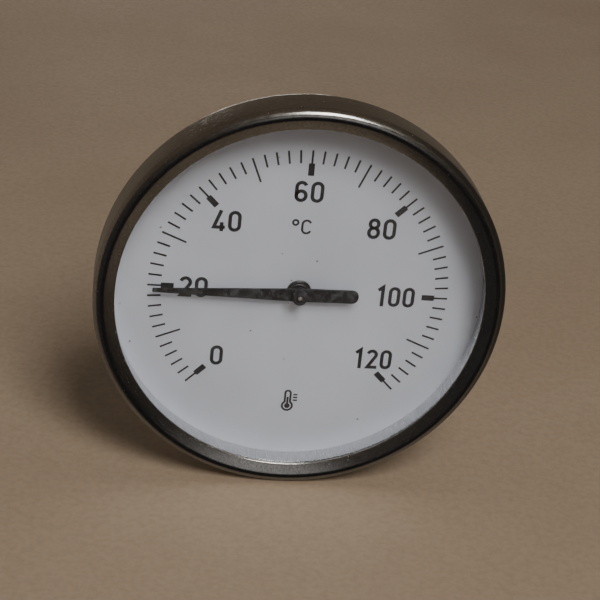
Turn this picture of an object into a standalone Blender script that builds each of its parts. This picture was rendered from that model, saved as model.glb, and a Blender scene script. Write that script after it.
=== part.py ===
"""Dial thermometer: 80 mm dial, 0 to 120 degrees C, back-entry bimetal stem on a G 1/2 thread.

Every piece is drawn in dial coordinates: x to the reader's right, y up the dial, z out of the
dial towards the reader. Z = 0 is the sealing shoulder of the threaded fitting. Each object is
then turned a quarter turn about X, so that the dial faces -Y and the stem points along +Y.
Dimensions are in millimetres, and scaled to metres as the meshes are made.
"""

from math import cos, pi, radians, sin

import bmesh
import bpy

MM = 0.001
FACE_FRONT = (pi / 2, 0.0, 0.0)
GAP = 0.1  # air left between two pieces that touch
WELD = 0.001  # points this close are one point

# Facets round a turned piece. Pieces that sit one inside the other share a number.
LARGE_SIDES = 64
THREAD_SIDES = 28
SMALL_SIDES = 24
FINE_SIDES = 16

# Scale and pointer
LOW_C, HIGH_C, REST_C = 0.0, 120.0, 19.7
SWEEP_DEG = 270.0
TICK_CIRCLE_R = 30.15
POINTER_TIP_R = 0.973 * TICK_CIRCLE_R
POINTER_TAIL_R = 0.398 * TICK_CIRCLE_R
POINTER_TIP_HALF_WIDTH = 0.42
POINTER_TAIL_HALF_WIDTH = 1.43
POINTER_CORNER_R = 1.3
POINTER_THICKNESS = 0.4
POINTER_ABOVE_DIAL = 1.35

# Head: stations along the axis
DIAL_Z = 17.7
DIAL_THICKNESS = 0.5
DIAL_R = 37.9
DIAL_HOLE_R = 2.5
GLASS_BACK_Z = DIAL_Z + 4.1
GLASS_THICKNESS = 2.0
GLASS_R = 39.6
SHEET = 0.6  # the case, the bezel and the support ring are pressed from it

# Case cup with its rim folded out and back down
CASE_BACK_Z = 9.2
CASE_INNER_R = 38.1
CASE_CORNER_R = 4.0
CASE_RIM_R = 40.0
CASE_RIM_Z = DIAL_Z + 3.4
CASE_HEM_Z = DIAL_Z - 1.1
CASE_HOLE_R = 6.3

# Bezel
BEZEL_R = 41.0
BEZEL_LIP_R = 36.7
BEZEL_SHOULDER_R = 1.7
BEZEL_CREST_R = BEZEL_R - BEZEL_SHOULDER_R
BEZEL_CREST_Z = DIAL_Z + 7.6
BEZEL_LIP_Z = GLASS_BACK_Z + GLASS_THICKNESS + GAP + SHEET
BEZEL_BACK_Z = DIAL_Z - 1.9
BEZEL_HOOK_R = 39.1

# Threaded fitting, G 1/2 with a 27 mm hexagon
HEX_ACROSS_FLATS = 27.0
HEX_HEIGHT = 8.0
CHAMFER_CIRCLE = 0.97  # the circle turned on a hexagon's face, over its width across flats
NECK_R = 6.0
NECK_TOP_Z = 15.0
THREAD_MAJOR_R = 10.478
THREAD_MINOR_R = 9.316
THREAD_PITCH = 1.814
THREAD_LENGTH = 14.0
RELIEF_LENGTH = 2.0
BUSH_BORE_R = 2.0
TUBE_BORE_R = 4.1
TUBE_BORE_END_Z = -0.9

# Nut and washers that clamp the case to the fitting
SEAL_WASHER_R = 12.0
SEAL_WASHER_THICKNESS = 1.0
LOCK_WASHER_R = 9.0
LOCK_WASHER_THICKNESS = 0.6
NUT_ACROSS_FLATS = 17.0
NUT_THICKNESS = 2.8
NUT_BORE_R = NECK_R + 0.2

# Stem
STEM_R = 4.0
STEM_WALL = 0.5
STEM_END_Z = -50.0
STEM_BORE_R = STEM_R - STEM_WALL
TUBE_TOP_Z = -1.0
TUBE_BOTTOM_Z = -48.5
PLUG_TOP_Z = -46.4

# Bimetal coil
COIL_R = 2.7
COIL_STRIP_THICKNESS = 0.2
COIL_STRIP_WIDTH = 1.6
COIL_TURNS = 15
COIL_TOP_Z = -7.6
COIL_BOTTOM_Z = -43.0
COIL_SIDES = 12
COIL_SEAT_R = 2.35  # the collet and the anchor reach inside the end turns

# Spindle and its bearings
SPINDLE_R = 0.5
SPINDLE_NOSE_R = 0.42
SPINDLE_NOSE_Z = DIAL_Z + 0.65
SPINDLE_TOP_Z = DIAL_Z + 3.35
SPINDLE_BOTTOM_Z = -47.4
BEARING_R = SPINDLE_R + GAP

# Bearing bush: its collar stands on the neck, and its stepped nose fills the dial's hole
BUSH_COLLAR_R = 2.9
BUSH_COLLAR_HEIGHT = 0.8
BUSH_NOSE_R = 2.3
BUSH_STEP_R = 1.7
BUSH_NOSE_Z = DIAL_Z + 0.2

# Hub
HUB_R = 1.5
HUB_NECK_R = 0.8
HUB_BACK_Z = DIAL_Z + 0.85
HUB_FRONT_Z = DIAL_Z + 3.6


def clear_scene():
    for obj in list(bpy.data.objects):
        bpy.data.objects.remove(obj, do_unlink=True)


def material(name, colour, roughness, metallic=0.0, transmission=0.0):
    made = bpy.data.materials.new(name)
    made.use_nodes = True
    shader = made.node_tree.nodes["Principled BSDF"]
    shader.inputs["Base Color"].default_value = (*colour, 1.0)
    shader.inputs["Roughness"].default_value = roughness
    shader.inputs["Metallic"].default_value = metallic
    shader.inputs["Transmission Weight"].default_value = transmission
    return made


def place(name, mesh, look, parent=None):
    """Adds the mesh as an object with its origin on the axis, the dial side facing -Y."""
    obj = bpy.data.objects.new(name, mesh)
    bpy.context.scene.collection.objects.link(obj)
    mesh.materials.append(look)
    mesh.shade_smooth()
    mesh.set_sharp_from_angle(angle=radians(35))
    if parent:
        obj.parent = parent
    else:
        obj.rotation_euler = FACE_FRONT
    return obj


def mesh_from(name, build):
    """Makes a mesh from a function that fills a bmesh in millimetres."""
    bm = bmesh.new()
    build(bm)
    bmesh.ops.remove_doubles(bm, verts=bm.verts, dist=WELD)
    bmesh.ops.recalc_face_normals(bm, faces=bm.faces)
    bmesh.ops.scale(bm, verts=bm.verts, vec=(MM, MM, MM))
    mesh = bpy.data.meshes.new(name)
    bm.to_mesh(mesh)
    bm.free()
    return mesh


def turned(name, outline, sides):
    """A solid turned about the axis. The outline is a closed loop of (radius, z) points."""

    def build(bm):
        points = [bm.verts.new((radius, 0.0, z)) for radius, z in outline]
        edges = [bm.edges.new((points[i - 1], points[i])) for i in range(len(points))]
        bmesh.ops.spin(
            bm, geom=points + edges, cent=(0, 0, 0), axis=(0, 0, 1),
            angle=2 * pi, steps=sides, use_merge=True,
        )
        bmesh.ops.remove_doubles(bm, verts=bm.verts, dist=WELD)
        lone = [edge for edge in bm.edges if not edge.link_faces]
        bmesh.ops.delete(bm, geom=lone, context="EDGES")

    return mesh_from(name, build)


def ring(name, inner_r, outer_r, low_z, high_z, sides):
    """A plain ring or washer."""
    outline = [(inner_r, low_z), (inner_r, high_z), (outer_r, high_z), (outer_r, low_z)]
    return turned(name, outline, sides)


def disc(name, radius, low_z, high_z, sides):
    """A plain solid disc or rod."""
    return turned(name, [(0, high_z), (radius, high_z), (radius, low_z), (0, low_z)], sides)


def arc(centre_x, centre_y, radius, start_deg, end_deg, steps):
    """Points of an arc in the plane of an outline, 0 degrees pointing along its first axis."""
    turn = (end_deg - start_deg) / steps
    angles = [radians(start_deg + turn * i) for i in range(steps + 1)]
    return [(centre_x + radius * cos(a), centre_y + radius * sin(a)) for a in angles]


def prism(name, outline, low_z, high_z):
    """A flat-sided piece cut from plate, its outline a list of (x, y) corners."""

    def build(bm):
        face = bm.faces.new([bm.verts.new((x, y, low_z)) for x, y in outline])
        grown = bmesh.ops.extrude_face_region(bm, geom=[face])["geom"]
        raised = [item for item in grown if isinstance(item, bmesh.types.BMVert)]
        bmesh.ops.translate(bm, verts=raised, vec=(0, 0, high_z - low_z))

    return mesh_from(name, build)


def polygon(radius, sides):
    """Corners of a regular polygon, the first one on the x axis."""
    angles = [2 * pi * i / sides for i in range(sides)]
    return [(radius * cos(a), radius * sin(a)) for a in angles]


def combine(obj, tool, operation):
    """Adds a Boolean that joins or cuts with a helper object, which stays out of the model."""
    tool.hide_render = True
    tool.display_type = "WIRE"
    modifier = obj.modifiers.new(tool.name, "BOOLEAN")
    modifier.operation = operation
    modifier.object = tool
    modifier.solver = "EXACT"


def hexagon(name, across_flats, low_z, high_z, look):
    """A hexagon bar end, its corners turned down to a circle on both faces."""
    corner_r = across_flats / 2 / cos(pi / 6)
    obj = place(name, prism(name, polygon(corner_r, 6), low_z, high_z), look)
    face_r = CHAMFER_CIRCLE * across_flats / 2
    outside_r = corner_r + 1
    drop = (outside_r - face_r) / 2
    envelope = [
        (0, high_z), (face_r, high_z), (outside_r, high_z - drop),
        (outside_r, low_z + drop), (face_r, low_z), (0, low_z),
    ]
    turned_shape = turned(name + "_envelope", envelope, LARGE_SIDES)
    combine(obj, place(name + "_envelope", turned_shape, look), "INTERSECT")
    return obj


# Head


def bezel_ring(look):
    """Pressed ring: lip on the glass, rounded shoulder, wall, and an edge rolled in behind."""
    bend_z = BEZEL_CREST_Z - BEZEL_SHOULDER_R
    shoulder = arc(BEZEL_CREST_R, bend_z, BEZEL_SHOULDER_R, 90, 0, 4)
    inner_shoulder = arc(BEZEL_CREST_R, bend_z, BEZEL_SHOULDER_R - SHEET, 0, 90, 3)
    outline = [
        (BEZEL_LIP_R, BEZEL_LIP_Z),
        *shoulder,
        (BEZEL_R, BEZEL_BACK_Z + SHEET),
        (BEZEL_R - SHEET, BEZEL_BACK_Z),
        (BEZEL_HOOK_R, BEZEL_BACK_Z),
        (BEZEL_HOOK_R, BEZEL_BACK_Z + SHEET),
        (BEZEL_R - SHEET, BEZEL_BACK_Z + SHEET + GAP),
        *inner_shoulder,
        (BEZEL_LIP_R, BEZEL_LIP_Z - SHEET),
    ]
    return place("bezel_ring", turned("bezel_ring", outline, LARGE_SIDES), look)


def window_glass(look):
    front_z = GLASS_BACK_Z + GLASS_THICKNESS
    glass = disc("window_glass", GLASS_R, GLASS_BACK_Z, front_z, LARGE_SIDES)
    return place("window_glass", glass, look)


def window_gasket(look):
    """Flat rubber ring between the rim of the case and the glass."""
    gasket = ring("window_gasket", CASE_INNER_R, CASE_RIM_R - GAP,
                  CASE_RIM_Z + GAP, GLASS_BACK_Z - GAP, LARGE_SIDES)
    return place("window_gasket", gasket, look)


def glass_spacer_ring(look):
    """Plain bright ring that stands on the edge of the dial and holds the glass off it."""
    spacer = ring("glass_spacer_ring", CASE_INNER_R - GAP - SHEET, CASE_INNER_R - GAP,
                  DIAL_Z + GAP, GLASS_BACK_Z - GAP, LARGE_SIDES)
    return place("glass_spacer_ring", spacer, look)


def dial_plate(look):
    dial = ring("dial_plate", DIAL_HOLE_R, DIAL_R, DIAL_Z - DIAL_THICKNESS, DIAL_Z, LARGE_SIDES)
    return place("dial_plate", dial, look)


def dial_support_ring(look):
    """Flanged ring that stands on the back of the case and carries the edge of the dial."""
    foot_r = CASE_INNER_R - CASE_CORNER_R
    top_z = DIAL_Z - DIAL_THICKNESS - GAP
    outline = [
        (foot_r - SHEET, CASE_BACK_Z + SHEET + GAP),
        (foot_r - SHEET, top_z),
        (DIAL_R, top_z),
        (DIAL_R, top_z - SHEET),
        (foot_r, top_z - SHEET),
        (foot_r, CASE_BACK_Z + SHEET + GAP),
    ]
    return place("dial_support_ring", turned("dial_support_ring", outline, LARGE_SIDES), look)


def case_body(look):
    """Drawn cup with a hole for the fitting, its rim folded out and back down."""
    wall_r = CASE_INNER_R + SHEET
    corner_z = CASE_BACK_Z + CASE_CORNER_R
    corner_r = wall_r - CASE_CORNER_R
    outline = [
        (CASE_HOLE_R, CASE_BACK_Z + SHEET),
        *arc(corner_r, corner_z, CASE_CORNER_R - SHEET, -90, 0, 2),
        (CASE_INNER_R, CASE_RIM_Z),
        (CASE_RIM_R, CASE_RIM_Z),
        (CASE_RIM_R, CASE_HEM_Z),
        (CASE_RIM_R - SHEET, CASE_HEM_Z),
        (CASE_RIM_R - SHEET, CASE_RIM_Z - SHEET),
        (wall_r, CASE_RIM_Z - SHEET),
        *arc(corner_r, corner_z, CASE_CORNER_R, 0, -90, 3),
        (CASE_HOLE_R, CASE_BACK_Z),
    ]
    return place("case_body", turned("case_body", outline, LARGE_SIDES), look)


# Fastening of the case to the fitting


def case_seal_washer(look):
    top_z = CASE_BACK_Z - GAP
    washer = ring("case_seal_washer", CASE_HOLE_R, SEAL_WASHER_R,
                  top_z - SEAL_WASHER_THICKNESS, top_z, SMALL_SIDES)
    return place("case_seal_washer", washer, look)


def lock_washer(look):
    low_z = CASE_BACK_Z + SHEET + GAP
    washer = ring("lock_washer", CASE_HOLE_R, LOCK_WASHER_R,
                  low_z, low_z + LOCK_WASHER_THICKNESS, SMALL_SIDES)
    return place("lock_washer", washer, look)


def lock_nut(look):
    low_z = CASE_BACK_Z + SHEET + LOCK_WASHER_THICKNESS + 2 * GAP
    high_z = low_z + NUT_THICKNESS
    nut = hexagon("lock_nut", NUT_ACROSS_FLATS, low_z, high_z, look)
    bore = disc("lock_nut_bore", NUT_BORE_R, low_z - 1, high_z + 1, SMALL_SIDES)
    combine(nut, place("lock_nut_bore", bore, look), "DIFFERENCE")
    return nut


# Threaded fitting


def thread_mesh(name):
    """One right-hand helical thread that runs out at both ends, closed by flat ends."""
    start_z = -RELIEF_LENGTH
    end_z = -THREAD_LENGTH
    corners = [  # share of a pitch, radius: a flat root, a flank, a flat crest and a flank
        (0, THREAD_MINOR_R), (1 / 6, THREAD_MINOR_R),
        (1 / 2, THREAD_MAJOR_R), (2 / 3, THREAD_MAJOR_R),
    ]
    turns = int(THREAD_LENGTH / THREAD_PITCH) + 2

    def ring_of_points(bm, turn, share, full_r):
        points = []
        for side in range(THREAD_SIDES + 1):
            angle = 2 * pi * side / THREAD_SIDES
            z = start_z + THREAD_PITCH * (1 + angle / (2 * pi) - turn - share)
            z = min(start_z, max(end_z, z))
            to_nearest_end = min(start_z - z, z - end_z)
            radius = min(full_r, THREAD_MINOR_R + to_nearest_end)
            points.append(bm.verts.new((radius * cos(angle), radius * sin(angle), z)))
        return points

    def build(bm):
        rings = [
            ring_of_points(bm, turn, share, full_r)
            for turn in range(turns)
            for share, full_r in corners
        ]
        for upper, lower in zip(rings, rings[1:]):
            for side in range(THREAD_SIDES):
                bm.faces.new((upper[side], upper[side + 1], lower[side + 1], lower[side]))
        bmesh.ops.remove_doubles(bm, verts=bm.verts, dist=WELD)
        rims = [edge for edge in bm.edges if len(edge.link_faces) == 1]
        bmesh.ops.holes_fill(bm, edges=rims)

    return mesh_from(name, build)


def threaded_fitting(look):
    """Hexagon with the case neck in front and the process thread behind, bored for the stem."""
    fitting = hexagon("threaded_fitting", HEX_ACROSS_FLATS, 0.0, HEX_HEIGHT, look)
    inside_z = 1.0  # the joined shapes overlap by this much
    neck = disc("fitting_neck", NECK_R, inside_z, NECK_TOP_Z, SMALL_SIDES)
    core = disc("fitting_core", THREAD_MINOR_R - GAP, inside_z - THREAD_LENGTH, inside_z,
                THREAD_SIDES)
    thread = thread_mesh("fitting_thread")
    bore = turned("fitting_bore", [
        (0, NECK_TOP_Z + 1), (BUSH_BORE_R, NECK_TOP_Z + 1),
        (BUSH_BORE_R, TUBE_BORE_END_Z), (TUBE_BORE_R, TUBE_BORE_END_Z),
        (TUBE_BORE_R, -THREAD_LENGTH - 1), (0, -THREAD_LENGTH - 1),
    ], SMALL_SIDES)
    combine(fitting, place("fitting_neck", neck, look), "UNION")
    combine(fitting, place("fitting_core", core, look), "UNION")
    combine(fitting, place("fitting_thread", thread, look), "UNION")
    combine(fitting, place("fitting_bore", bore, look), "DIFFERENCE")
    return fitting


# Stem


def stem_tube(look):
    tube = ring("stem_tube", STEM_BORE_R, STEM_R, TUBE_BOTTOM_Z, TUBE_TOP_Z, SMALL_SIDES)
    return place("stem_tube", tube, look)


def stem_end_plug(look):
    """Plug with a rounded end, and a blind hole that centres the spindle."""
    head_z = TUBE_BOTTOM_Z - GAP
    spigot_r = STEM_BORE_R - GAP
    edge_r = 0.8
    hole_z = SPINDLE_BOTTOM_Z - 0.3
    outline = [
        (0, hole_z),
        (BEARING_R, hole_z),
        (BEARING_R, PLUG_TOP_Z),
        (spigot_r, PLUG_TOP_Z),
        (spigot_r, head_z),
        (STEM_R, head_z),
        *arc(STEM_R - edge_r, STEM_END_Z + edge_r, edge_r, 0, -90, 2),
        (0, STEM_END_Z),
    ]
    return place("stem_end_plug", turned("stem_end_plug", outline, SMALL_SIDES), look)


def helix_anchor(look):
    """Bush fixed in the tube, on whose nose the fixed end of the coil is welded."""
    flange_z = COIL_BOTTOM_Z - COIL_STRIP_WIDTH / 2 - GAP
    outline = [
        (BEARING_R, COIL_BOTTOM_Z + COIL_STRIP_WIDTH / 2),
        (COIL_SEAT_R, COIL_BOTTOM_Z + COIL_STRIP_WIDTH / 2),
        (COIL_SEAT_R, flange_z),
        (STEM_BORE_R - GAP, flange_z),
        (STEM_BORE_R - GAP, PLUG_TOP_Z + GAP),
        (BEARING_R, PLUG_TOP_Z + GAP),
    ]
    return place("helix_anchor", turned("helix_anchor", outline, SMALL_SIDES), look)


def bimetal_helix(look):
    """Flat bimetal strip wound into a coil, with the strip's width along the axis."""
    inner_r = COIL_R - COIL_STRIP_THICKNESS / 2
    outer_r = COIL_R + COIL_STRIP_THICKNESS / 2
    half_width = COIL_STRIP_WIDTH / 2
    corners = [(inner_r, half_width), (outer_r, half_width),
               (outer_r, -half_width), (inner_r, -half_width)]
    steps = COIL_TURNS * COIL_SIDES

    def build(bm):
        sections = []
        for step in range(steps + 1):
            angle = 2 * pi * step / COIL_SIDES
            z = COIL_BOTTOM_Z + (COIL_TOP_Z - COIL_BOTTOM_Z) * step / steps
            sections.append([
                bm.verts.new((radius * cos(angle), radius * sin(angle), z + rise))
                for radius, rise in corners
            ])
        for before, after in zip(sections, sections[1:]):
            for i in range(4):
                bm.faces.new((before[i - 1], before[i], after[i], after[i - 1]))
        bm.faces.new(sections[0])
        bm.faces.new(sections[-1])

    return place("bimetal_helix", mesh_from("bimetal_helix", build), look)


def helix_collet(look, parent):
    """Collet on the spindle that the free end of the coil turns."""
    low_z = COIL_TOP_Z - COIL_STRIP_WIDTH / 2
    top_z = COIL_TOP_Z + COIL_STRIP_WIDTH / 2 + GAP
    outline = [
        (SPINDLE_R + GAP / 2, low_z), (SPINDLE_R + GAP / 2, top_z + 1.0),
        (COIL_R, top_z + 1.0), (COIL_R, top_z), (COIL_SEAT_R, top_z), (COIL_SEAT_R, low_z),
    ]
    return place("helix_collet", turned("helix_collet", outline, SMALL_SIDES), look, parent)


# Spindle and pointer


def spindle(look, parent):
    outline = [
        (0, SPINDLE_TOP_Z), (SPINDLE_NOSE_R, SPINDLE_TOP_Z),
        (SPINDLE_NOSE_R, SPINDLE_NOSE_Z), (SPINDLE_R, SPINDLE_NOSE_Z),
        (SPINDLE_R, SPINDLE_BOTTOM_Z), (0, SPINDLE_BOTTOM_Z),
    ]
    return place("spindle", turned("spindle", outline, FINE_SIDES), look, parent)


def spindle_guide(look):
    """Disc at the mouth of the tube that keeps the spindle in line."""
    guide = ring("spindle_guide", BEARING_R, STEM_BORE_R - GAP, -4.0, -2.5, SMALL_SIDES)
    return place("spindle_guide", guide, look)


def bearing_bush(look):
    """Turned bush in the neck of the fitting, its nose standing through the dial's hole."""
    collar_z = NECK_TOP_Z + GAP
    outline = [
        (BEARING_R, BUSH_NOSE_Z), (BUSH_STEP_R, BUSH_NOSE_Z),
        (BUSH_STEP_R, DIAL_Z), (BUSH_NOSE_R, DIAL_Z),
        (BUSH_NOSE_R, collar_z + BUSH_COLLAR_HEIGHT), (BUSH_COLLAR_R, collar_z + BUSH_COLLAR_HEIGHT),
        (BUSH_COLLAR_R, collar_z), (BUSH_BORE_R - GAP, collar_z),
        (BUSH_BORE_R - GAP, HEX_HEIGHT), (BEARING_R, HEX_HEIGHT),
    ]
    return place("bearing_bush", turned("bearing_bush", outline, SMALL_SIDES), look)


def pointer_blade(look, parent):
    """Flat blade that widens evenly from its tip to the hub, and keeps that width to its tail."""
    tip, tail = POINTER_TIP_R, -POINTER_TAIL_R
    tip_half, tail_half = POINTER_TIP_HALF_WIDTH, POINTER_TAIL_HALF_WIDTH
    corner = POINTER_CORNER_R
    outline = [
        (tip_half, tip), (-tip_half, tip), (-tail_half, 0),
        *arc(-tail_half + corner, tail + corner, corner, 180, 270, 4),
        *arc(tail_half - corner, tail + corner, corner, 270, 360, 4),
        (tail_half, 0),
    ]
    low_z = DIAL_Z + POINTER_ABOVE_DIAL
    mesh = prism("pointer_blade", outline, low_z, low_z + POINTER_THICKNESS)
    blade = place("pointer_blade", mesh, look, parent)
    hole = disc("pointer_hole", HUB_NECK_R + GAP, low_z - 1, low_z + 1, FINE_SIDES)
    combine(blade, place("pointer_hole", hole, look, parent), "DIFFERENCE")
    return blade


def pointer_hub(look, parent):
    """Hub pressed on the spindle's nose, with the blade held in its groove."""
    blade_z = DIAL_Z + POINTER_ABOVE_DIAL
    bore_r = SPINDLE_NOSE_R + GAP / 2
    outline = [
        (bore_r, HUB_FRONT_Z), (HUB_R, HUB_FRONT_Z),
        (HUB_R, blade_z + POINTER_THICKNESS + GAP), (HUB_NECK_R, blade_z + POINTER_THICKNESS + GAP),
        (HUB_NECK_R, blade_z - GAP), (HUB_R, blade_z - GAP),
        (HUB_R, HUB_BACK_Z), (bore_r, HUB_BACK_Z),
    ]
    return place("pointer_hub", turned("pointer_hub", outline, FINE_SIDES), look, parent)


def pointer_axis():
    """Empty on the axis that carries everything that turns, set to the resting reading."""
    empty = bpy.data.objects.new("pointer_axis", None)
    bpy.context.scene.collection.objects.link(empty)
    empty.rotation_euler = FACE_FRONT
    from_top_deg = (REST_C - (LOW_C + HIGH_C) / 2) * SWEEP_DEG / (HIGH_C - LOW_C)
    turn = bpy.data.objects.new("pointer_reading", None)
    bpy.context.scene.collection.objects.link(turn)
    turn.parent = empty
    turn.rotation_euler = (0.0, 0.0, -radians(from_top_deg))
    return turn


def main():
    clear_scene()
    plated = material("plated_steel", (0.55, 0.54, 0.52), 0.22, metallic=1.0)
    case_steel = material("case_steel", (0.50, 0.50, 0.50), 0.42, metallic=1.0)
    inner_steel = material("inner_steel", (0.62, 0.62, 0.62), 0.35, metallic=1.0)
    steel = material("bright_steel", (0.66, 0.66, 0.67), 0.25, metallic=1.0)
    brass = material("brass", (0.72, 0.56, 0.28), 0.32, metallic=1.0)
    bimetal = material("bimetal", (0.48, 0.45, 0.42), 0.4, metallic=1.0)
    glass = material("glass", (0.95, 0.97, 0.97), 0.03, transmission=1.0)
    white_paint = material("dial_white", (0.76, 0.78, 0.80), 0.5)
    black_paint = material("pointer_black", (0.012, 0.012, 0.014), 0.5)
    rubber = material("black_rubber", (0.02, 0.02, 0.02), 0.8)

    bezel_ring(plated)
    window_glass(glass)
    window_gasket(rubber)
    glass_spacer_ring(inner_steel)
    dial_plate(white_paint)
    dial_support_ring(inner_steel)
    case_body(case_steel)

    case_seal_washer(rubber)
    lock_washer(steel)
    lock_nut(brass)
    threaded_fitting(brass)

    stem_tube(brass)
    stem_end_plug(brass)
    helix_anchor(brass)
    bimetal_helix(bimetal)
    spindle_guide(brass)
    bearing_bush(brass)

    turning = pointer_axis()
    spindle(steel, turning)
    helix_collet(brass, turning)
    pointer_blade(black_paint, turning)
    pointer_hub(black_paint, turning)


main()
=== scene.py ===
"""Looks of the dial thermometer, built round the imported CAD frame.

Shapes are drawn in dial coordinates, in millimetres: x to the reader's right, y up the dial, z out
of the dial towards the reader, with z = 0 at the sealing shoulder. in_frame turns a point of them
into the frame's metres, where the dial faces -Y and the stem points along +Y.
"""

from math import atan2, cos, pi, radians, sin, sqrt, tan

import bmesh
import bpy
from mathutils import Matrix, Vector


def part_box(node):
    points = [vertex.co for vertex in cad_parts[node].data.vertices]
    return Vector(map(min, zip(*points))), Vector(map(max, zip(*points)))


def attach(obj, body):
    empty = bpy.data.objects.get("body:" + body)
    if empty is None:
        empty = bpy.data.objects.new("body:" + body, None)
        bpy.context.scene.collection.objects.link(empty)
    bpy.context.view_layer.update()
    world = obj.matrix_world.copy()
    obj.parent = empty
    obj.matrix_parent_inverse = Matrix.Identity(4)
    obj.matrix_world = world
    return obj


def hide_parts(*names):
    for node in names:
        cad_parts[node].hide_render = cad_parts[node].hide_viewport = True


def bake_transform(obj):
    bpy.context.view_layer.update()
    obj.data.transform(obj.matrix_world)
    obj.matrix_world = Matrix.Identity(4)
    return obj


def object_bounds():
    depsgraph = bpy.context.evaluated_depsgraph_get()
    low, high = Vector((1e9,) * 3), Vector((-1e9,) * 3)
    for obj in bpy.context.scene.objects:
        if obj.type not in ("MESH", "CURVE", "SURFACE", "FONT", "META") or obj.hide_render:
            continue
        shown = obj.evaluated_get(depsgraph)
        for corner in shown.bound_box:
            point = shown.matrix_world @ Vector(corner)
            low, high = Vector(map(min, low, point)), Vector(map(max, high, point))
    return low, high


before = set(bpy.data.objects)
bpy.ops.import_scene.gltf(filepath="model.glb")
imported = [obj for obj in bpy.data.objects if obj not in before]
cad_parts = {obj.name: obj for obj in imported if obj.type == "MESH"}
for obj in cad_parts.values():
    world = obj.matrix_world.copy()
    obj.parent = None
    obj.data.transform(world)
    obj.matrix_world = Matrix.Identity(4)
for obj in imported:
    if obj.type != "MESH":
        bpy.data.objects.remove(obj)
CAD_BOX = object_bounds()

MM = 0.001


def front(node):
    """Height of a node's front face above the sealing shoulder, in millimetres."""
    return -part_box(node)[0].y / MM


def back(node):
    """Height of a node's back face above the sealing shoulder, in millimetres."""
    return -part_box(node)[1].y / MM


def radius(node):
    """Outer radius of a round node, in millimetres."""
    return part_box(node)[1].z / MM


# Stations and radii read from the frame
DIAL_Z = front("dial_plate")
GLASS_FRONT_Z = front("window_glass")
GLASS_BACK_Z = back("window_glass")
BEZEL_FRONT_Z = front("bezel_ring")
BEZEL_BACK_Z = back("bezel_ring")
BEZEL_R = radius("bezel_ring")
STEM_R = radius("stem_tube")
STEM_END_Z = back("stem_end_plug")

# Sizes that the frame's boxes don't give, the same as in the CAD part
AIR = 0.1
SHEET = 0.6
BEZEL_LIP_R = 36.7
BEZEL_SHOULDER_R = 1.7
BEZEL_HOOK_R = 39.1
CASE_CORNER_R = 4.0
CASE_HOLE_R = 6.3
CASE_RIM_FOLD = 1.9  # from the inside of the cup to the outside of its folded rim
CASE_RIM_DROP = 4.5  # from the front of the rim to the end of its hem
DIAL_HOLE_R = 2.5
TICK_CIRCLE_R = 30.15
COIL_R = 2.7
COIL_TURNS = 15
COIL_STRIP = (0.2, 1.6)
COIL_SEAT_R = 2.35
SPINDLE_R = 0.5
SPINDLE_NOSE_R = 0.42
SPINDLE_SHOULDER_Z = DIAL_Z + 0.65
BEARING_R = SPINDLE_R + AIR
HUB_NECK_R = 0.8
POINTER_TIP_R = 0.973 * TICK_CIRCLE_R
POINTER_TAIL_R = 0.398 * TICK_CIRCLE_R
POINTER_TIP_HALF_WIDTH = 0.42
POINTER_TAIL_HALF_WIDTH = 1.43
POINTER_CORNER_R = 1.3
NECK_R = 6.0
NUT_CLEARANCE = 0.2
HEX_TOP_Z = 8.0
CHAMFER_CIRCLE = 0.97  # the circle turned on a hexagon's face, over its width across flats
CHAMFER_DEG = 30
BUSH_BORE_R = 2.0
BUSH_COLLAR = (2.9, 0.8)  # radius and height
BUSH_NOSE_R = 2.3
BUSH_STEP_R = 1.7
TUBE_WALL = 0.5
TUBE_BORE_R = STEM_R + AIR
TUBE_BORE_END_Z = -0.9
THREAD_MAJOR_R = 10.478
THREAD_MINOR_R = 9.316
THREAD_PITCH = 1.814
THREAD_END_Z = -14.0
RELIEF_END_Z = -2.0

# Fineness
LARGE_SIDES = 288
SMALL_SIDES = 120
SOFTEN_STEPS = 4

# Scale
LOW_C, HIGH_C, REST_C = 0.0, 120.0, 19.7
SWEEP_DEG = 270.0
TICK_STEP_C = 2
NUMBER_STEP_C = 20
INK_LOW_Z = DIAL_Z - 0.01
INK_TOP_Z = DIAL_Z + 0.02
NUMBER_HEIGHT, NUMBER_STROKE = 4.47, 0.72
DIGIT_WIDTH, DIGIT_ADVANCE = 2.60, 3.16
NARROW_WIDTH, NARROW_ADVANCE = 2.42, 2.95  # in numbers of three digits
ONE_ADVANCE = 0.89  # the advance of a 1 over that of the other digits

# Light
KEY_POWER = 5.5
KEY_PLACE = (0.205, -0.725, 0.83)
KEY_SIZE = (0.34, 0.48)
KEY_COLOUR = (1.0, 0.98, 0.95)
REAR_POWER = 0.8
REAR_PLACE = (0.0, 0.8, 0.0)
REAR_SIZE = (0.24, 0.06)
REAR_COLOUR = (1.0, 0.97, 0.93)
ROOM_DARK = (0.016, 0.0155, 0.016)
ROOM_GREY = (0.036, 0.034, 0.035)
ROOM_BROWN = (0.165, 0.132, 0.099)
ROOM_BACK = (0.125, 0.101, 0.077)
ROOM_UPPER = (0.084, 0.066, 0.050)
ROOM_RIGHT = (0.045, 0.039, 0.032)
ROOM_GLOW = (0.43, 0.43, 0.44)
FILL_FRONT = (0.05, 0.047, 0.043)
FILL_BACK = (0.13, 0.122, 0.112)
BACKDROP = (0.25, 0.225, 0.20)


# Mesh tools


def in_frame(x, y, z):
    """A point of dial coordinates in the frame, in metres."""
    return Vector((x, -z, y)) * MM


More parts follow.
